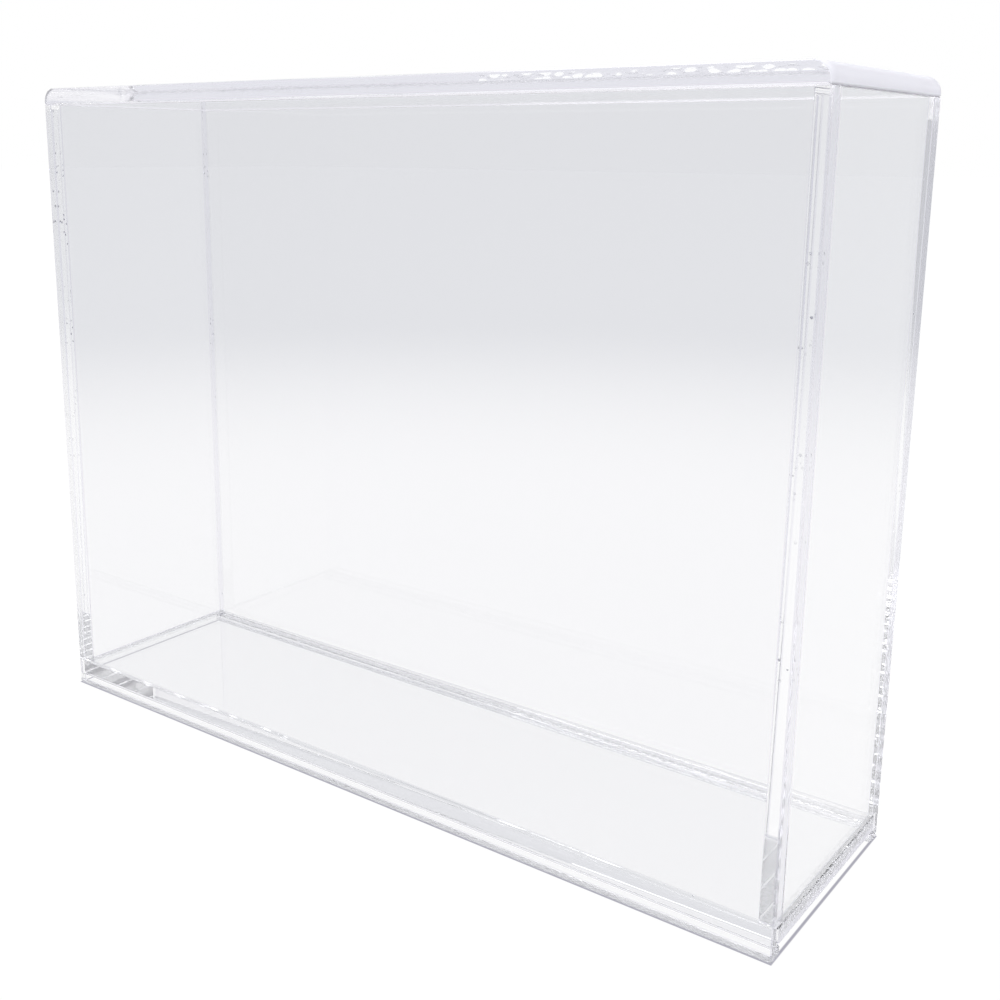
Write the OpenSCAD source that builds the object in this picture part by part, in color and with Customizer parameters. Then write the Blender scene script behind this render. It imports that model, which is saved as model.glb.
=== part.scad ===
// Clear upright box for trading card decks, made of cemented acrylic sheet.
// Two long panels carry a groove along their foot, and a floor panel slides in it.
// Millimetres. X runs along the box, Y through it, Z up. Origin: middle of the foot.

/* [Overall size] */
// Outside length, along the long panels
box_w = 157.5; // [80:0.5:300]
// Outside depth, over the two long panels
box_d = 43.3; // [24:0.1:120]
// Outside height, foot of the long panels to the top face
box_h = 123.4; // [60:0.1:240]

/* [Sheet] */
// Sheet thickness of the long panels and the end panels
wall_t = 3; // [2.4:0.1:6]
// Sheet thickness of the top panel
top_t = 3; // [2:0.1:6]
// Sheet thickness of the sliding floor panel
floor_t = 3; // [2:0.1:6]

/* [Sliding floor] */
// Height of the lip of each long panel under the groove
lip_h = 1.6; // [1.2:0.1:6]
// Depth of the groove in the inner face of each long panel
groove_d = 1.4; // [0.8:0.1:1.6]
// Running clearance over and under the floor panel
slide_gap = 0.15; // [0.1:0.05:0.3]
// Clearance between the edge of the floor panel and the back of its groove
edge_gap = 0.3; // [0.2:0.05:0.6]

/* [Edges] */
// Radius on the short top edges of the top panel
top_end_r = 2.6; // [0.5:0.1:6]
// Flat height that is left on the short ends of the top panel under that radius
top_end_flat = 0.2; // [0.1:0.1:1]
// Chamfer on the outer upright edges of the long panels
arris = 0.3; // [0.1:0.05:0.6]

/* [Hidden] */
$fn = 64;
eps = 0.5;                                    // how far a cutter runs past a face

case_h = box_h - top_t;                       // underside of the top panel
groove_h = floor_t + 2 * slide_gap;           // height of the groove mouth
groove_top = lip_h + groove_h;                // the end panels stand just above the floor
floor_z = lip_h + slide_gap;                  // underside of the floor panel
inner_d = box_d - 2 * wall_t;                 // clear depth between the long panels
floor_d = inner_d + 2 * (groove_d - edge_gap);
end_h = case_h - groove_top;
end_r = min(top_end_r, top_t - top_end_flat); // the round stops inside the sheet

acrylic = [0.86, 0.93, 0.97, 0.45];
acrylic_floor = [0.72, 0.84, 0.93, 0.6];

// One long panel, standing at the front of the box: outer face at -Y, groove at +Y.
module long_panel() {
    difference() {
        translate([0, -box_d / 2, 0])
            linear_extrude(case_h)
                polygon([[-box_w / 2 + arris, 0], [box_w / 2 - arris, 0],
                         [box_w / 2, arris], [box_w / 2, wall_t],
                         [-box_w / 2, wall_t], [-box_w / 2, arris]]);
        translate([-box_w / 2 - eps, -box_d / 2 + wall_t - groove_d, lip_h])
            cube([box_w + 2 * eps, groove_d + eps, groove_h]);
    }
}

// One end panel, between the long panels. side is -1 for left and 1 for right.
module end_panel(side) {
    translate([side * (box_w - wall_t) / 2 - wall_t / 2, -inner_d / 2, groove_top])
        cube([wall_t, inner_d, end_h]);
}

module front_panel() {
    color(acrylic) long_panel();
}

module back_panel() {
    color(acrylic) mirror([0, 1, 0]) long_panel();
}

module left_end_panel() {
    color(acrylic) end_panel(-1);
}

module right_end_panel() {
    color(acrylic) end_panel(1);
}

// Side view of the top panel: a flat strip whose two upper corners are rounded.
module top_outline() {
    intersection() {
        translate([-box_w / 2, 0]) square([box_w, top_t]);
        union() {
            translate([-box_w / 2, 0]) square([box_w, top_t - end_r]);
            translate([-box_w / 2 + end_r, 0]) square([box_w - 2 * end_r, top_t]);
            for (side = [-1, 1])
                translate([side * (box_w / 2 - end_r), top_t - end_r]) circle(end_r);
        }
    }
}

// The top panel lies on all four walls, flush with their outer faces.
module top_panel() {
    color(acrylic)
        translate([0, box_d / 2, case_h])
            rotate([90, 0, 0])
                linear_extrude(box_d) top_outline();
}

// The floor panel runs in the grooves, flush with both ends when it is home.
module floor_panel() {
    color(acrylic_floor)
        translate([-box_w / 2, -floor_d / 2, floor_z])
            cube([box_w, floor_d, floor_t]);
}

front_panel();
back_panel();
left_end_panel();
right_end_panel();
top_panel();
floor_panel();
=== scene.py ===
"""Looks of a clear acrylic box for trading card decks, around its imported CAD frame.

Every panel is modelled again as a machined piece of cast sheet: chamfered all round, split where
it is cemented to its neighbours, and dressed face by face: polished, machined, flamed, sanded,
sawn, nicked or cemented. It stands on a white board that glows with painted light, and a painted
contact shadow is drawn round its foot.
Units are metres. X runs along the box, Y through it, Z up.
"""

import logging
import math
from dataclasses import dataclass, field
from enum import IntEnum
from typing import Callable

import bpy
from mathutils import Matrix, Vector


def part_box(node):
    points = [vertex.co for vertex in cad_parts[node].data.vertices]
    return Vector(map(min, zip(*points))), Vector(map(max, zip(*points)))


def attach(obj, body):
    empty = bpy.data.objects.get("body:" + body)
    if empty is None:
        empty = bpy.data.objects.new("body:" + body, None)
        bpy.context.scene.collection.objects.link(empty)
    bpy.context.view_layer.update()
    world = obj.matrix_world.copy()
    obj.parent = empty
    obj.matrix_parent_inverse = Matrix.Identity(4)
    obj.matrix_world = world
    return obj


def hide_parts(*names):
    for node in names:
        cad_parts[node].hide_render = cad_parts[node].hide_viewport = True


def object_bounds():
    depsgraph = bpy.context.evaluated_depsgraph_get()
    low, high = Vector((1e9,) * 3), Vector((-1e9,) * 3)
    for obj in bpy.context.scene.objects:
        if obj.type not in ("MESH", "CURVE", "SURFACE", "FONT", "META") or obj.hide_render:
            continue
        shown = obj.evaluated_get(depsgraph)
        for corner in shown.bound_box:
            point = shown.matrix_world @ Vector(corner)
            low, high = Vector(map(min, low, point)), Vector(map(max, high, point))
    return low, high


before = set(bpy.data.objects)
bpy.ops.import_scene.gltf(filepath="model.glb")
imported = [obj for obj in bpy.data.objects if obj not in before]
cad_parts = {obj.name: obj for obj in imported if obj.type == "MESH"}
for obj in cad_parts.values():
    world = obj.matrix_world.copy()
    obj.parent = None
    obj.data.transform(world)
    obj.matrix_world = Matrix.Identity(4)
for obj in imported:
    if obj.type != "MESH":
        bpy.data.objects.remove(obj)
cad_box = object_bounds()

MM = 0.001
SQUARE = 0.99                        # a face points along an axis when its normal has this much of it
LEANING = 0.5                        # and is taken as lying across it when it has less than this
SHARP = math.radians(30)             # edges that turn by more than this are chamfered
FROST_THROUGH = 0.25                 # share of the frost's light that comes from the other side
SHARE, FIRST, SECOND, MIXED = 0, 6, 7, 2         # a colour Mix node's three inputs and its output
LOG = logging.getLogger("card_deck_box")


# ---------------------------------------------------------------------------------------------
# Colours and nodes
# ---------------------------------------------------------------------------------------------

def linear(hex_colour: str) -> tuple[float, float, float, float]:
    """Turns an sRGB hex colour to the linear colour that shaders use.

    Args:
        hex_colour: Six hex digits after a hash sign.

    Returns:
        Linear red, green, blue and an alpha of one.
    """
    channels = (int(hex_colour[i:i + 2], 16) / 255 for i in (1, 3, 5))
    red, green, blue = (
        c / 12.92 if c <= 0.04045 else ((c + 0.055) / 1.055) ** 2.4 for c in channels
    )
    return red, green, blue, 1.0


def add_node(
    tree: bpy.types.NodeTree, kind: str, settings: dict | None = None, links: dict | None = None
) -> bpy.types.Node:
    """Adds one node with its settings and its incoming links.

    Args:
        tree: The node tree that gets the node.
        kind: Blender's name for the node type.
        settings: Node properties by name, and input values by socket name or number.
        links: Outputs that feed this node, by its input's name or number.

    Returns:
        The new node.
    """
    node = tree.nodes.new(kind)
    for name, value in (settings or {}).items():
        if isinstance(name, str) and hasattr(node, name):
            setattr(node, name, value)
        else:
            node.inputs[name].default_value = value
    for name, output in (links or {}).items():
        tree.links.new(output, node.inputs[name])
    return node


def new_material(name: str) -> tuple[bpy.types.Material, bpy.types.NodeTree, bpy.types.Node]:
    """Makes an empty node material.

    Args:
        name: The material's name.

    Returns:
        The material, its node tree and its output node.
    """
    material = bpy.data.materials.new(name)
    material.use_nodes = True
    tree = material.node_tree
    tree.nodes.clear()
    return material, tree, add_node(tree, "ShaderNodeOutputMaterial")


def frosted_over(
    tree: bpy.types.NodeTree, clear: bpy.types.Node, tint: str, clearness: float
) -> bpy.types.NodeSocket:
    """Lays frost over a clear shader: frost is lit from outside and from inside the sheet alike.

    Args:
        tree: The material's node tree.
        clear: The shader without frost.
        tint: The frost's colour.
        clearness: Share of the surface that stays clear.

    Returns:
        The mixed shader.
    """
    front = add_node(tree, "ShaderNodeBsdfDiffuse", {"Color": linear(tint)})
    through = add_node(tree, "ShaderNodeBsdfTranslucent", {"Color": linear(tint)})
    frost = add_node(
        tree, "ShaderNodeMixShader", {0: FROST_THROUGH},
        {1: front.outputs["BSDF"], 2: through.outputs["BSDF"]},
    )
    mixed = add_node(
        tree, "ShaderNodeMixShader", {0: clearness},
        {1: frost.outputs["Shader"], 2: clear.outputs["BSDF"]},
    )
    return mixed.outputs["Shader"]


# ---------------------------------------------------------------------------------------------
# Finishes
# ---------------------------------------------------------------------------------------------

@dataclass(frozen=True)
class PolishedAcrylic:
    """Cast acrylic with its factory polish: perfectly clear, with a faint haze from handling."""

    name: str = "cast_acrylic_polished"
    tint: str = "#FAFAFB"
    ior: float = 1.49
    haze_size: float = 18 * MM       # width of one smear of haze
    haze_most: float = 0.012         # roughness in the middle of a smear
    haze_rim: tuple[float, float] = (0.55, 0.8)      # noise where a smear begins and is full

    def make(self) -> bpy.types.Material:
        """Builds the material.

        Returns:
            The new material.
        """
        material, tree, output = new_material(self.name)
        place = add_node(tree, "ShaderNodeTexCoord")
        smear = add_node(
            tree, "ShaderNodeTexNoise",
            {"Scale": 1 / self.haze_size, "Detail": 3.0, "Roughness": 0.6},
            {"Vector": place.outputs["Object"]},
        )
        haze = add_node(
            tree, "ShaderNodeMapRange",
            {"From Min": self.haze_rim[0], "From Max": self.haze_rim[1], "To Max": self.haze_most},
            {"Value": smear.outputs["Fac"]},
        )
        shader = add_node(
            tree, "ShaderNodeBsdfPrincipled",
            {"Base Color": linear(self.tint), "IOR": self.ior, "Transmission Weight": 1.0},
            {"Roughness": haze.outputs["Result"]},
        )
        tree.links.new(shader.outputs["BSDF"], output.inputs["Surface"])
        return material


@dataclass(frozen=True)
class MachinedEdge:
    """A milled edge: clear and glossy, with faint cutter waves and a cool cast that flaming lessens."""

    name: str = "cast_acrylic_machined_edge"
    tint: str = "#EAE9F1"
    ior: float = 1.49
    roughness: float = 0.14
    wave_pitch: float = 1.4 * MM     # one cutter wave
    wave_depth: float = 0.012 * MM

    def make(self) -> bpy.types.Material:
        """Builds the material.

        Returns:
            The new material.
        """
        material, tree, output = new_material(self.name)
        place = add_node(tree, "ShaderNodeTexCoord")
        waves = add_node(
            tree, "ShaderNodeTexNoise",
            {"Scale": 1 / self.wave_pitch, "Detail": 1.0},
            {"Vector": place.outputs["Object"]},
        )
        bump = add_node(
            tree, "ShaderNodeBump",
            {"Strength": 0.6, "Distance": self.wave_depth},
            {"Height": waves.outputs["Fac"]},
        )
        shader = add_node(
            tree, "ShaderNodeBsdfPrincipled",
            {"Base Color": linear(self.tint), "IOR": self.ior, "Roughness": self.roughness,
             "Transmission Weight": 1.0},
            {"Normal": bump.outputs["Normal"]},
        )
        tree.links.new(shader.outputs["BSDF"], output.inputs["Surface"])
        return material


@dataclass(frozen=True)
class SawnEdge:
    """A saw-cut end left as it came: lightly frosted, with fine upright cutter marks."""

    name: str = "cast_acrylic_sawn_end"
    tint: str = "#FAFAFF"
    ior: float = 1.49
    mark_pitch: float = 0.9 * MM     # spacing of the marks, coarse enough to be seen
    mark_depth: float = 0.02 * MM
    mark_upright: float = 0.18       # the marks change this much slower upwards than across
    mark_lean: float = 0.12          # radians that the marks lean
    mark_rim: tuple[float, float] = (0.35, 0.65)     # noise where the cut is smoothest and roughest
    roughness: tuple[float, float] = (0.15, 0.4)
    clearness: float = 0.8           # share of the light that goes through

    def make(self) -> bpy.types.Material:
        """Builds the material.

        Returns:
            The new material.
        """
        material, tree, output = new_material(self.name)
        place = add_node(tree, "ShaderNodeTexCoord")
        stretched = add_node(
            tree, "ShaderNodeMapping",
            {"Scale": (1.0, 1.0, self.mark_upright), "Rotation": (self.mark_lean, 0.0, 0.0)},
            {"Vector": place.outputs["Object"]},
        )
        marks = add_node(
            tree, "ShaderNodeTexNoise",
            {"Scale": 1 / self.mark_pitch, "Detail": 2.0, "Roughness": 0.7},
            {"Vector": stretched.outputs["Vector"]},
        )
        frost = add_node(
            tree, "ShaderNodeMapRange",
            {"From Min": self.mark_rim[0], "From Max": self.mark_rim[1],
             "To Min": self.roughness[0], "To Max": self.roughness[1]},
            {"Value": marks.outputs["Fac"]},
        )
        bump = add_node(
            tree, "ShaderNodeBump",
            {"Strength": 0.8, "Distance": self.mark_depth},
            {"Height": marks.outputs["Fac"]},
        )
        shader = add_node(
            tree, "ShaderNodeBsdfPrincipled",
            {"Base Color": linear(self.tint), "IOR": self.ior, "Transmission Weight": 1.0},
            {"Roughness": frost.outputs["Result"], "Normal": bump.outputs["Normal"]},
        )
        tree.links.new(frosted_over(tree, shader, self.tint, self.clearness), output.inputs["Surface"])
        return material


@dataclass(frozen=True)
class SandedEnd:
    """An end that was sanded and only half polished again: satin and pale, without sharp lines."""

    name: str = "cast_acrylic_sanded_end"
    tint: str = "#F4F3FA"
    ior: float = 1.49
    roughness: float = 0.32
    clearness: float = 0.4           # share of the light that goes through

    def make(self) -> bpy.types.Material:
        """Builds the material.

        Returns:
            The new material.
        """
        material, tree, output = new_material(self.name)
        shader = add_node(
            tree, "ShaderNodeBsdfPrincipled",
            {"Base Color": linear(self.tint), "IOR": self.ior, "Roughness": self.roughness,
             "Transmission Weight": 1.0},
        )
        tree.links.new(frosted_over(tree, shader, self.tint, self.clearness), output.inputs["Surface"])
        return material


@dataclass(frozen=True)
class ChatteredEdge:
    """A machined edge where the cutter chattered: a chain of small white nicks in clear sheet."""

    name: str = "cast_acrylic_chattered_edge"
    tint: str = "#F9F8FD"
    nick: str = "#FFFFFF"
    ior: float = 1.49
    nick_length: float = 2.0 * MM
    nick_height: float = 0.8 * MM
    nick_depth: float = 0.08 * MM
    nick_roughness: float = 0.4
    nick_clearness: float = 0.15     # share of the light that goes through a nick
    roughness: float = 0.08          # of the clear edge between the nicks
    wander: tuple[float, float, float] = (0.8 * MM, 0.0, 1.2 * MM)   # how far nicks stray from rows
    wander_length: float = 4.0 * MM  # along the edge, before they stray another way
    nick_rim: tuple[float, float] = (0.50, 0.36)     # cell distance where a nick begins and is full

    def make(self) -> bpy.types.Material:
        """Builds the material.

        Returns:
            The new material.
        """
        material, tree, output = new_material(self.name)
        place = add_node(tree, "ShaderNodeTexCoord")
        wander = add_node(
            tree, "ShaderNodeTexNoise", {"Scale": 1 / self.wander_length, "Detail": 1.0},
            {"Vector": place.outputs["Object"]},
        )
        moved = add_node(
            tree, "ShaderNodeVectorMath", {"operation": "MULTIPLY_ADD", 1: self.wander},
            {0: wander.outputs["Color"], 2: place.outputs["Object"]},
        )
        stretched = add_node(
            tree, "ShaderNodeMapping",
            {"Scale": (1 / self.nick_length, 1 / self.nick_length, 1 / self.nick_height)},
            {"Vector": moved.outputs["Vector"]},
        )
        cells = add_node(
            tree, "ShaderNodeTexVoronoi", {"Scale": 1.0, "Randomness": 0.8},
            {"Vector": stretched.outputs["Vector"]},
        )
        nicks = add_node(
            tree, "ShaderNodeMapRange",
            {"From Min": self.nick_rim[0], "From Max": self.nick_rim[1]},
            {"Value": cells.outputs["Distance"]},
        )
        bump = add_node(
            tree, "ShaderNodeBump", {"Strength": 0.7, "Distance": self.nick_depth},
            {"Height": cells.outputs["Distance"]},
        )
        clear = add_node(
            tree, "ShaderNodeBsdfPrincipled",
            {"Base Color": linear(self.tint), "IOR": self.ior, "Roughness": self.roughness,
             "Transmission Weight": 1.0},
            {"Normal": bump.outputs["Normal"]},
        )
        white = add_node(
            tree, "ShaderNodeBsdfPrincipled",
            {"Base Color": linear(self.nick), "IOR": self.ior, "Roughness": self.nick_roughness,
             "Transmission Weight": self.nick_clearness},
        )
        mixed = add_node(
            tree, "ShaderNodeMixShader", {},
            {0: nicks.outputs["Result"], 1: clear.outputs["BSDF"], 2: white.outputs["BSDF"]},
        )
        tree.links.new(mixed.outputs["Shader"], output.inputs["Surface"])
        return material


@dataclass(frozen=True)
class CementJoint:
    """A solvent-cemented joint: invisible where it took, with small white bubbles where it did not."""

    name: str = "solvent_cement_joint"
    bubble: str = "#F6F6FF"
    bubble_size: float = 1.1 * MM
    bubble_roughness: float = 0.35
    bubble_clearness: float = 0.5    # share of the light that goes through a bubble
    patch_size: float = 14 * MM      # bubbles come in patches of about this size
    bubble_rim: tuple[float, float] = (0.26, 0.18)   # cell distance where a bubble begins and is full
    patch_rim: tuple[float, float] = (0.54, 0.62)    # noise where a patch begins and is full
    most: float = 0.8                # how much of the clear joint a bubble covers
    ior: float = 1.49

    def make(self) -> bpy.types.Material:
        """Builds the material.

        Returns:
            The new material.
        """
        material, tree, output = new_material(self.name)
        place = add_node(tree, "ShaderNodeTexCoord")
        cells = add_node(
            tree, "ShaderNodeTexVoronoi",
            {"Scale": 1 / self.bubble_size, "Randomness": 1.0},
            {"Vector": place.outputs["Object"]},
        )
        bubbles = add_node(
            tree, "ShaderNodeMapRange",
            {"From Min": self.bubble_rim[0], "From Max": self.bubble_rim[1]},
            {"Value": cells.outputs["Distance"]},
        )
        patches = add_node(
            tree, "ShaderNodeTexNoise",
            {"Scale": 1 / self.patch_size, "Detail": 1.0},
            {"Vector": place.outputs["Object"]},
        )
        where = add_node(
            tree, "ShaderNodeMapRange",
            {"From Min": self.patch_rim[0], "From Max": self.patch_rim[1], "To Max": self.most},
            {"Value": patches.outputs["Fac"]},
        )
        mask = add_node(
            tree, "ShaderNodeMath", {"operation": "MULTIPLY"},
            {0: bubbles.outputs["Result"], 1: where.outputs["Result"]},
        )
        clear = add_node(tree, "ShaderNodeBsdfTransparent")
        void = add_node(
            tree, "ShaderNodeBsdfPrincipled",
            {"Base Color": linear(self.bubble), "IOR": self.ior, "Roughness": self.bubble_roughness,
             "Transmission Weight": self.bubble_clearness},
        )
        mixed = add_node(
            tree, "ShaderNodeMixShader", {},
            {0: mask.outputs["Value"], 1: clear.outputs["BSDF"], 2: void.outputs["BSDF"]},
        )
        tree.links.new(mixed.outputs["Shader"], output.inputs["Surface"])
        return material


def white_to_the_eye(
    tree: bpy.types.NodeTree, colour: bpy.types.NodeSocket
) -> bpy.types.NodeSocket:
    """Overexposes the studio where it is seen directly, and keeps its true light in the acrylic.

    Args:
        tree: The node tree of the board or of the room.
        colour: The studio's true colour.

    Returns:
        White for the eye's own view, and the true colour for all other light.
    """
    path = add_node(tree, "ShaderNodeLightPath")
    seen = add_node(
        tree, "ShaderNodeMix", {"data_type": "RGBA", SECOND: linear("#FFFFFF")},
        {SHARE: path.outputs["Is Camera Ray"], FIRST: colour},
    )
    return seen.outputs[MIXED]


@dataclass(frozen=True)
class GlowingBoard:
    """A white board under the box that glows with painted light, brightest at the box and falling off away
    from it.
    """

    name: str = "white_board_painted_glow"
    # painted light: white at the box, fading to the backdrop's tone behind it and the room's grey in front
    near: str = "#FFFFFF"
    behind: str = "#EDEEF0"
    before: str = "#CDCED2"
    matt: str = "#202020"            # the little that the top layer scatters of the room's light
    fade: tuple[float, float] = (0.18, 0.62)
    blend: float = 0.25              # how gently the front half passes into the back half
    footprint: tuple[float, float] = (0.0, 0.0)      # half length and half depth of the box
    ring: str = "#A9A8B4"            # painted contact shadow, as the glowing table takes hardly any shadow
    contact_shadow_width: float = 0.25 * MM
    contact_shadow_edge: float = 0.2 * MM

    def paint_contact_shadow(
        self, tree: bpy.types.NodeTree, place: bpy.types.Node, colour: bpy.types.NodeSocket
    ) -> bpy.types.NodeSocket:
        """Paints a contact shadow: a thin darker line along the outline of the box's footprint.

        Args:
            tree: The table's node tree.
            place: Its texture coordinates.
            colour: The table's colour without the painted contact shadow.

        Returns:
            The colour with the painted contact shadow.
        """
        size = add_node(
            tree, "ShaderNodeVectorMath", {"operation": "ABSOLUTE"}, {0: place.outputs["Object"]}
        )
        over = add_node(
            tree, "ShaderNodeVectorMath", {"operation": "SUBTRACT", 1: (*self.footprint, 0.0)},
            {0: size.outputs["Vector"]},
        )
        sides = add_node(tree, "ShaderNodeSeparateXYZ", {}, {"Vector": over.outputs["Vector"]})
        past = add_node(
            tree, "ShaderNodeMath", {"operation": "MAXIMUM"},
            {0: sides.outputs["X"], 1: sides.outputs["Y"]},
        )
        inside = add_node(
            tree, "ShaderNodeMapRange",
            {"From Min": -self.contact_shadow_width - self.contact_shadow_edge, "From Max": -self.contact_shadow_width},
            {"Value": past.outputs["Value"]},
        )
        outside = add_node(
            tree, "ShaderNodeMapRange", {"From Min": self.contact_shadow_edge, "From Max": 0.0},
            {"Value": past.outputs["Value"]},
        )
        both = add_node(
            tree, "ShaderNodeMath", {"operation": "MULTIPLY"},
            {0: inside.outputs["Result"], 1: outside.outputs["Result"]},
        )
        # painted contact shadow: the darker colour is mixed in along the footprint's outline
        shadowed_colour = add_node(
            tree, "ShaderNodeMix", {"data_type": "RGBA", SECOND: linear(self.ring)},
            {SHARE: both.outputs["Value"], FIRST: colour},
        )
        return shadowed_colour.outputs[MIXED]

    def make(self) -> bpy.types.Material:
        """Builds the material.

        Returns:
            The new material.
        """
        material, tree, output = new_material(self.name)
        place = add_node(tree, "ShaderNodeTexCoord")
        # painted pool of light: the glow fades with the distance from the box
        reach = add_node(
            tree, "ShaderNodeVectorMath", {"operation": "LENGTH"}, {0: place.outputs["Object"]}
        )
        share = add_node(
            tree, "ShaderNodeMapRange",
            {"interpolation_type": "SMOOTHSTEP", "From Min": self.fade[0], "From Max": self.fade[1]},
            {"Value": reach.outputs["Value"]},
        )
        toward = add_node(
            tree, "ShaderNodeVectorMath", {"operation": "NORMALIZE"}, {0: place.outputs["Object"]}
        )
        apart = add_node(tree, "ShaderNodeSeparateXYZ", {}, {"Vector": toward.outputs["Vector"]})
        back = add_node(
            tree, "ShaderNodeMapRange", {"From Min": -self.blend, "From Max": self.blend},
            {"Value": apart.outputs["Y"]},
        )
        far = add_node(
            tree, "ShaderNodeMix",
            {"data_type": "RGBA", FIRST: linear(self.before), SECOND: linear(self.behind)},
            {SHARE: back.outputs["Result"]},
        )
        colour = add_node(
            tree, "ShaderNodeMix", {"data_type": "RGBA", FIRST: linear(self.near)},
            {SHARE: share.outputs["Result"], SECOND: far.outputs[MIXED]},
        )
        # painted light: the board glows in place of the light that falls on it
        glow = self.paint_contact_shadow(tree, place, white_to_the_eye(tree, colour.outputs[MIXED]))
        shader = add_node(
            tree, "ShaderNodeBsdfPrincipled",
            {"Base Color": linear(self.matt), "Roughness": 1.0, "Specular IOR Level": 0.0,
             "Emission Strength": 1.0},
            {"Emission Color": glow},
        )
        tree.links.new(shader.outputs["BSDF"], output.inputs["Surface"])
        return material


class Finish(IntEnum):
    """The finishes of one panel, in the order of its material slots."""

    FACE = 0
    EDGE = 1
    SAWN = 2
    JOINT = 3
    CHATTERED = 4
    FLAMED = 5
    SANDED = 6


@dataclass
class FinishSet:
    """The finishes that every panel is dressed in."""

    materials: list[bpy.types.Material] = field(default_factory=list)

    def __post_init__(self) -> None:
        """Makes the materials in the order of Finish."""
        flamed = MachinedEdge("cast_acrylic_flamed_edge", "#F8F7FD", roughness=0.10)
        kinds = (
            PolishedAcrylic(), MachinedEdge(), SawnEdge(), CementJoint(), ChatteredEdge(), flamed,
            SandedEnd(),
        )
        self.materials = [kind.make() for kind in kinds]


# ---------------------------------------------------------------------------------------------
# Modelling helpers
# ---------------------------------------------------------------------------------------------

def deselect() -> None:
    """Leaves nothing selected."""
    if bpy.context.object and bpy.context.object.mode != "OBJECT":
        bpy.ops.object.mode_set(mode="OBJECT")
    bpy.ops.object.select_all(action="DESELECT")


def add_block(name: str, low: Vector, high: Vector) -> bpy.types.Object:
    """Adds a block between two corners, with its origin left at the world's.

    Args:
        name: The new object's name.
        low: Lowest corner.
        high: Highest corner.

    Returns:
        The block, selected and active.
    """
    deselect()
    bpy.ops.mesh.primitive_cube_add(size=1, location=(low + high) / 2)
    block = bpy.context.object
    block.name = name
    block.scale = high - low
    bpy.ops.object.transform_apply(location=True, rotation=False, scale=True)
    return block


def apply_modifier(piece: bpy.types.Object, kind: str, **settings: object) -> None:
    """Adds a modifier with its settings and applies it.

    Args:
        piece: The object to change.
        kind: Blender's name for the modifier type.
        **settings: The modifier's properties.
    """
    deselect()
    piece.select_set(True)
    bpy.context.view_layer.objects.active = piece
    modifier = piece.modifiers.new(kind.lower(), kind)
    for key, value in settings.items():
        setattr(modifier, key, value)
    bpy.ops.object.modifier_apply(modifier=modifier.name)


def split_at(piece: bpy.types.Object, axis: int, places: list[float]) -> None:
    """Cuts every face of a piece along planes, without taking anything away.

    Args:
        piece: The object to cut.
        axis: 0, 1 or 2 for planes square to X, Y or Z.
        places: Where each plane crosses its axis.
    """
    deselect()
    piece.select_set(True)
    bpy.context.view_layer.objects.active = piece
    bpy.ops.object.mode_set(mode="EDIT")
    for place in places:
        point, normal = Vector(), Vector()
        point[axis], normal[axis] = place, 1.0
        bpy.ops.mesh.select_all(action="SELECT")
        bpy.ops.mesh.bisect(plane_co=point, plane_no=normal)
    bpy.ops.object.mode_set(mode="OBJECT")


def bevel_edges(
    piece: bpy.types.Object, chosen: Callable[[Vector, Vector], bool], width: float, steps: int
) -> None:
    """Bevels the edges that a test picks by their two ends.

    Args:
        piece: The object to change.
        chosen: Says of an edge's two ends whether the edge is bevelled.
        width: Width of the bevel.
        steps: Segments across the bevel.
    """
    deselect()
    piece.select_set(True)
    bpy.context.view_layer.objects.active = piece
    bpy.ops.object.mode_set(mode="EDIT")
    bpy.ops.mesh.select_mode(type="EDGE")
    bpy.ops.mesh.select_all(action="DESELECT")
    bpy.ops.object.mode_set(mode="OBJECT")
    points = piece.data.vertices
    for edge in piece.data.edges:
        first, second = (points[i].co for i in edge.vertices)
        edge.select = chosen(first, second)
    bpy.ops.object.mode_set(mode="EDIT")
    bpy.ops.mesh.bevel(offset=width, segments=steps, affect="EDGES")
    bpy.ops.mesh.select_mode(type="FACE")
    bpy.ops.object.mode_set(mode="OBJECT")


# ---------------------------------------------------------------------------------------------
# Panels
# ---------------------------------------------------------------------------------------------

@dataclass
class Box:
    """Sizes of the whole box, read from the frame."""

    low: Vector
    high: Vector
    wall: float = 0.0
    case_top: float = 0.0
    chamfer: float = 0.2 * MM

    def __post_init__(self) -> None:
        """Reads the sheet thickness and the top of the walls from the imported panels."""
        front_low, front_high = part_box("front_panel")
        self.wall = front_high.y - front_low.y
        self.case_top = front_high.z
        self.low, self.high = Vector(self.low), Vector(self.high)

    @property
    def inner_x(self) -> float:
        """Half the clear length between the end panels."""
        return self.high.x - self.wall

    @property
    def inner_y(self) -> float:
        """Half the clear depth between the long panels."""
        return self.high.y - self.wall


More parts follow.
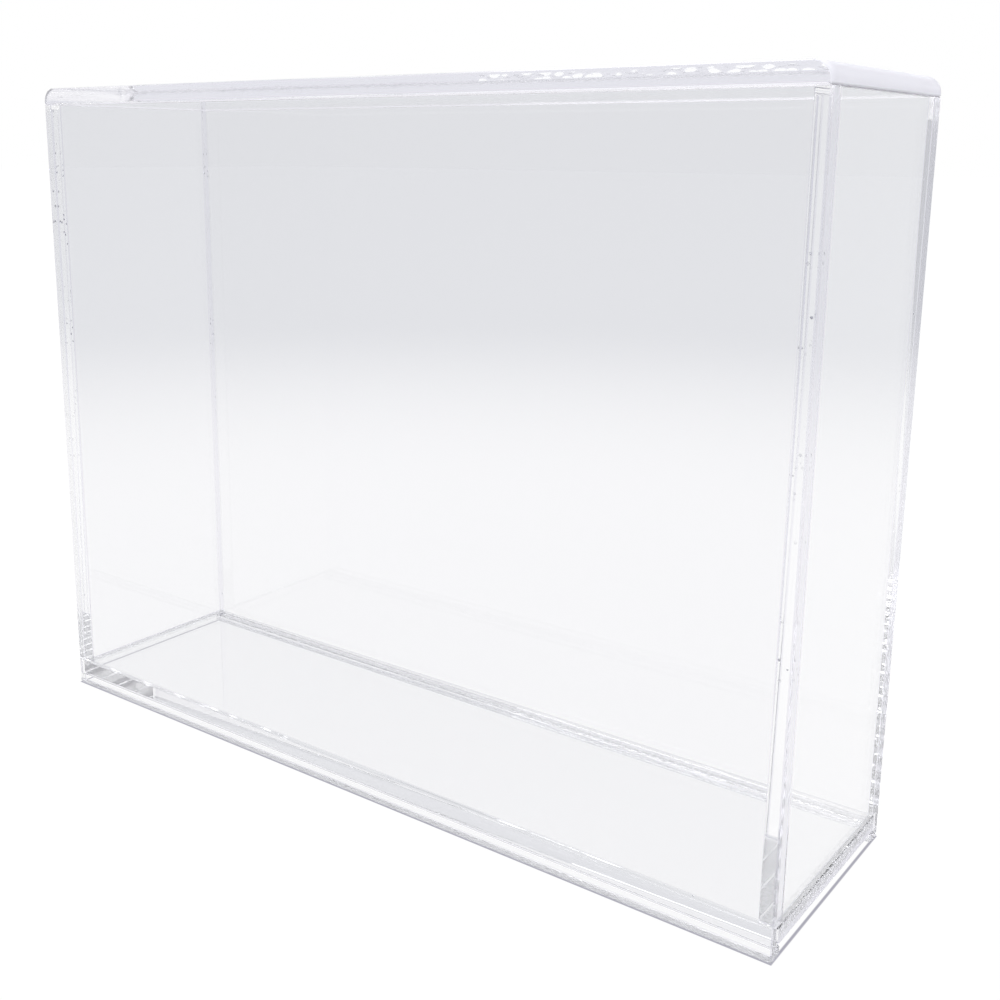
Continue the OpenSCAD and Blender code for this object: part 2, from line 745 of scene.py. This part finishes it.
@dataclass
class Panel:
    """One piece of sheet: its CAD node, its body, its finishes and where it is cemented."""

    node: str
    body: str
    slot: str
    box: Box
    finishes: FinishSet
    face_axis: int
    piece: bpy.types.Object | None = None

    def build(self) -> bpy.types.Object:
        """Models the panel, dresses it and hangs it on its body.

        Returns:
            The finished piece.
        """
        low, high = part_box(self.node)
        self.piece = add_block("sheet_" + self.node, low, high)
        self.machine()
        apply_modifier(
            self.piece, "BEVEL", width=self.box.chamfer, segments=1, limit_method="ANGLE",
            angle_limit=SHARP,
        )
        self.split_contacts()
        self.dress()
        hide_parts(self.node)
        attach(self.piece, self.body)
        LOG.info("%s: %d faces", self.piece.name, len(self.piece.data.polygons))
        return self.piece

    def machine(self) -> None:
        """Cuts what the sheet has besides its outline. A plain panel has nothing."""

    def split_contacts(self) -> None:
        """Cuts the faces where another panel's cemented edge begins. A plain panel has none."""

    def finish_of(self, centre: Vector, normal: Vector) -> Finish:
        """Picks the finish of one face.

        Args:
            centre: The middle of the face.
            normal: The way it faces.

        Returns:
            Polished for the sheet's two broad faces, machined for the rest.
        """
        return Finish.FACE if abs(normal[self.face_axis]) > SQUARE else Finish.EDGE

    def dress(self) -> None:
        """Gives every face its finish, with flat shading so that flat sheet stays flat."""
        mesh = self.piece.data
        mesh.materials.clear()
        for material in self.finishes.materials:
            mesh.materials.append(material)
        for face in mesh.polygons:
            face.material_index = int(self.finish_of(face.center, face.normal))
            face.use_smooth = False


@dataclass
class LongPanel(Panel):
    """The front or back panel: full length, grooved along its foot for the sliding floor."""

    groove_depth: float = 1.4 * MM
    slide_gap: float = 0.15 * MM
    foot_part: float = 1.0 * MM      # faces whose middle is lower than this belong to the foot

    @property
    def side(self) -> int:
        """-1 for the front panel and 1 for the back panel."""
        return -1 if self.node.startswith("front") else 1

    def machine(self) -> None:
        """Mills the groove with a cutter that runs out past both ends."""
        floor_low, floor_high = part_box("floor_panel")
        reach = 2 * MM
        inner, deep = self.box.inner_y - reach, self.box.inner_y + self.groove_depth
        ys = sorted((self.side * inner, self.side * deep))
        cutter = add_block(
            "groove_cutter",
            Vector((self.box.low.x - reach, ys[0], floor_low.z - self.slide_gap)),
            Vector((self.box.high.x + reach, ys[1], floor_high.z + self.slide_gap)),
        )
        apply_modifier(self.piece, "BOOLEAN", operation="DIFFERENCE", object=cutter, solver="EXACT")
        bpy.data.objects.remove(cutter)

    def split_contacts(self) -> None:
        """Cuts the inner face where the end panels are cemented on."""
        edge = self.box.inner_x + self.box.chamfer
        split_at(self.piece, 0, [-edge, edge])

    def finish_of(self, centre: Vector, normal: Vector) -> Finish:
        """Adds the cemented strips, the sawn foot and the polished groove to a plain panel's finishes.

        Args:
            centre: The middle of the face.
            normal: The way it faces.

        Returns:
            The finish of that place, or what a plain panel has there.
        """
        box = self.box
        if normal.z > SQUARE and centre.z > box.case_top - box.chamfer / 2:
            return Finish.JOINT
        inward = normal.y * self.side < -SQUARE
        on_inner_face = abs(abs(centre.y) - box.inner_y) < box.chamfer / 2
        end_low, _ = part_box("right_end_panel")
        if inward and on_inner_face and abs(centre.x) > box.inner_x and centre.z > end_low.z:
            return Finish.JOINT
        if normal.z < -SQUARE and centre.z < box.chamfer:
            return Finish.SAWN
        under_end = self.foot_part < centre.z < end_low.z + box.chamfer
        in_groove = abs(centre.y) < box.high.y - box.chamfer and under_end
        if in_groove and abs(normal.x) < LEANING:
            return Finish.FACE
        return super().finish_of(centre, normal)


@dataclass
class EndPanel(Panel):
    """A short panel, cemented between the long panels and under the top."""

    def finish_of(self, centre: Vector, normal: Vector) -> Finish:
        """Its two upright edges and its upper edge are cemented; its foot is sawn.

        Args:
            centre: The middle of the face.
            normal: The way it faces.

        Returns:
            Cemented, sawn, or what a plain panel has there.
        """
        if abs(normal.y) > SQUARE or normal.z > SQUARE:
            return Finish.JOINT
        if normal.z < -SQUARE:
            return Finish.SAWN
        return super().finish_of(centre, normal)


@dataclass
class TopPanel(Panel):
    """The top: lies on all four walls, with its two short upper edges rounded over."""

    end_radius: float = 2.6 * MM
    round_steps: int = 12
    chatter_from: float = 26 * MM                    # the cutter chattered from here to the right end
    chatter_drop: tuple[float, float] = (1.35 * MM, 0.5 * MM)   # strip below the top face
    near: float = 0.01 * MM          # how closely an edge has to lie on the top's outline
    least_outward: float = 0.05      # least of X in the normal of a face of the sanded end
    round_upward: tuple[float, float] = (0.02, 0.998)   # least and most of Z in that of a rounded face

    def machine(self) -> None:
        """Rounds the short upper edges."""
        top = self.box.high.z
        bevel_edges(
            self.piece,
            lambda a, b: min(a.z, b.z) > top - self.near and abs(a.x - b.x) < self.near,
            self.end_radius, self.round_steps,
        )

    def split_contacts(self) -> None:
        """Cuts the underside where the walls are cemented on, and the edge where it is nicked."""
        chamfer, inner_x, inner_y = self.box.chamfer, self.box.inner_x, self.box.inner_y
        split_at(self.piece, 0, [-inner_x - chamfer, self.chatter_from, inner_x + chamfer])
        split_at(self.piece, 2, [self.box.high.z - drop for drop in self.chatter_drop])
        split_at(self.piece, 1, [side * (inner_y + step) for side in (-1, 1) for step in (-chamfer, chamfer)])

    def finish_of(self, centre: Vector, normal: Vector) -> Finish:
        """Tells the cemented ring, the nicked strip and the sanded right end from the other faces.

        Args:
            centre: The middle of the face.
            normal: The way it faces.

        Returns:
            The finish of that place, else polished for the broad faces and flamed for the edges.
        """
        box = self.box
        if normal.z < -SQUARE:
            over_long = abs(centre.y) > box.inner_y + box.chamfer
            over_end = abs(centre.x) > box.inner_x + box.chamfer and abs(centre.y) < box.inner_y - box.chamfer
            if over_long or over_end:
                return Finish.JOINT
        low, high = (box.high.z - drop for drop in self.chatter_drop)
        if normal.y < -SQUARE and centre.x > self.chatter_from and low < centre.z < high:
            return Finish.CHATTERED
        if centre.x > box.high.x - self.end_radius and normal.x > self.least_outward:
            return Finish.SANDED
        return Finish.FACE if abs(normal.z) > SQUARE else Finish.FLAMED

    def dress(self) -> None:
        """Dresses the panel as any other, but shades the rounded ends smooth."""
        super().dress()
        start = self.box.high.x - self.end_radius
        low, high = self.round_upward
        for face in self.piece.data.polygons:
            face.use_smooth = abs(face.center.x) > start and low < face.normal.z < high


@dataclass
class FloorPanel(Panel):
    """The loose floor, sawn at both ends, free in its grooves."""

    sawn_share: float = 0.55         # the saw marks stop here, and the cut below them is sanded

    @property
    def cut_change(self) -> float:
        """Height at which the look of the cut changes."""
        low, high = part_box(self.node)
        return high.z - self.sawn_share * (high.z - low.z)

    def split_contacts(self) -> None:
        """Cuts the short ends where the saw marks stop."""
        split_at(self.piece, 2, [self.cut_change])

    def finish_of(self, centre: Vector, normal: Vector) -> Finish:
        """Its two short ends are sawn above and sanded below, and all the rest is polished.

        Args:
            centre: The middle of the face.
            normal: The way it faces.

        Returns:
            Sawn, sanded or polished.
        """
        if abs(normal.x) > SQUARE:
            return Finish.SAWN if centre.z > self.cut_change else Finish.SANDED
        return Finish.FACE


@dataclass
class Case:
    """The cemented case: two long panels, two end panels and the top."""

    box: Box
    finishes: FinishSet
    body: str = "case"
    slot: str = "clear_acrylic"

    def build(self) -> list[bpy.types.Object]:
        """Builds the five cemented panels.

        Returns:
            The five pieces.
        """
        shared = (self.body, self.slot, self.box, self.finishes)
        panels = [
            LongPanel("front_panel", *shared, face_axis=1),
            LongPanel("back_panel", *shared, face_axis=1),
            EndPanel("left_end_panel", *shared, face_axis=0),
            EndPanel("right_end_panel", *shared, face_axis=0),
            TopPanel("top_panel", *shared, face_axis=2),
        ]
        return [panel.build() for panel in panels]


@dataclass
class SlidingFloor:
    """The floor panel that slides out lengthwise."""

    box: Box
    finishes: FinishSet

    def build(self) -> bpy.types.Object:
        """Builds the floor panel."""
        return FloorPanel(
            "floor_panel", "sliding_floor", "sawn_edge_acrylic", self.box, self.finishes, face_axis=2
        ).build()


# ---------------------------------------------------------------------------------------------
# Studio
# ---------------------------------------------------------------------------------------------

@dataclass
class Studio:
    """White board, soft light from all round and above, a fill lamp, and the camera."""

    board_half: float = 6.0
    board_cells: int = 4
    board_gap: float = 0.05 * MM
    backdrop: str = "#EDEEF0"
    room: str = "#CDCED2"
    blend: float = 0.25              # how gently the room passes into the backdrop
    bounces: int = 96                # light runs far inside the sheet before it leaves
    softbox_size: tuple[float, float] = (1.6, 1.2)
    softbox_place: Vector = Vector((0.0, 0.15, 1.3))
    softbox_watts: float = 14.0
    fill_size: float = 1.0
    fill_place: Vector = Vector((0.75, -0.75, 0.4))
    fill_watts: float = 6.0
    eye: Vector = Vector((0.1375, -0.1737, 0.1123))
    heading: float = -37.15
    tilt: float = 12.68
    roll: float = 0.37
    focal_mm: float = 45.13
    sensor_mm: float = 36.0
    shift: tuple[float, float] = (0.0437, -0.0681)

    def build(self) -> None:
        """Sets up the whole studio."""
        self.lay_board()
        self.light_world()
        self.hang_softbox()
        self.hang_fill()
        self.set_camera()
        scene = bpy.context.scene
        scene.view_settings.view_transform = "Standard"
        for name in ("max_bounces", "transmission_bounces", "glossy_bounces", "transparent_max_bounces"):
            setattr(scene.cycles, name, self.bounces)

    def lay_board(self) -> None:
        """Lays the white board just under the box."""
        deselect()
        bpy.ops.mesh.primitive_grid_add(
            x_subdivisions=self.board_cells, y_subdivisions=self.board_cells, size=2 * self.board_half,
            location=(0, 0, -self.board_gap),
        )
        board = bpy.context.object
        board.name = "white_board"
        board.data.materials.append(GlowingBoard(footprint=tuple(cad_box[1].xy)).make())

    def light_world(self) -> None:
        """Light all round: a pale backdrop behind the box and a greyer room in front of it."""
        world = bpy.data.worlds.new("soft_room")
        bpy.context.scene.world = world
        world.use_nodes = True
        tree = world.node_tree
        tree.nodes.clear()
        place = add_node(tree, "ShaderNodeTexCoord")
        apart = add_node(tree, "ShaderNodeSeparateXYZ", {}, {"Vector": place.outputs["Generated"]})
        share = add_node(
            tree, "ShaderNodeMapRange", {"From Min": -self.blend, "From Max": self.blend},
            {"Value": apart.outputs["Y"]},
        )
        colour = add_node(
            tree, "ShaderNodeMix",
            {"data_type": "RGBA", FIRST: linear(self.room), SECOND: linear(self.backdrop)},
            {SHARE: share.outputs["Result"]},
        )
        light = add_node(
            tree, "ShaderNodeBackground", {"Strength": 1.0},
            {"Color": white_to_the_eye(tree, colour.outputs[MIXED])},
        )
        output = add_node(tree, "ShaderNodeOutputWorld")
        tree.links.new(light.outputs["Background"], output.inputs["Surface"])

    def hang_softbox(self) -> None:
        """Hangs one broad softbox over the box."""
        light = bpy.data.lights.new("softbox", "AREA")
        light.shape = "RECTANGLE"
        light.size, light.size_y = self.softbox_size
        light.energy = self.softbox_watts
        lamp = bpy.data.objects.new("softbox", light)
        lamp.location = self.softbox_place
        bpy.context.scene.collection.objects.link(lamp)

    def hang_fill(self) -> None:
        """Hangs a fill lamp at the front right, which lights what is frosted and isn't reflected."""
        light = bpy.data.lights.new("fill", "AREA")
        light.size = self.fill_size
        light.energy = self.fill_watts
        lamp = bpy.data.objects.new("fill", light)
        lamp.location = self.fill_place
        lamp.rotation_euler = self.fill_place.to_track_quat("Z", "Y").to_euler()
        for ray in ("camera", "glossy", "transmission"):
            setattr(lamp, "visible_" + ray, False)
        bpy.context.scene.collection.objects.link(lamp)

    def set_camera(self) -> None:
        """Places the camera by its heading, tilt and roll."""
        heading, tilt, roll = (math.radians(a) for a in (self.heading, self.tilt, self.roll))
        forward = Vector((
            math.sin(heading) * math.cos(tilt), math.cos(heading) * math.cos(tilt), -math.sin(tilt)
        ))
        right = Vector((math.cos(heading), -math.sin(heading), 0.0))
        up = right.cross(forward)
        across = math.cos(roll) * right + math.sin(roll) * up
        upward = -math.sin(roll) * right + math.cos(roll) * up
        data = bpy.data.cameras.new("camera")
        data.sensor_width = self.sensor_mm
        data.lens = self.focal_mm
        data.shift_x, data.shift_y = self.shift
        data.clip_start = 10 * MM
        camera = bpy.data.objects.new("camera", data)
        turn = Matrix((across, upward, -forward)).transposed().to_4x4()
        camera.matrix_world = Matrix.Translation(self.eye) @ turn
        bpy.context.scene.collection.objects.link(camera)
        bpy.context.scene.camera = camera


def main() -> None:
    """Builds the studio and the box, in order."""
    logging.basicConfig(level=logging.INFO)
    Studio().build()
    finishes = FinishSet()
    box = Box(*cad_box)
    Case(box, finishes).build()
    SlidingFloor(box, finishes).build()


if __name__ == "__main__":
    main()
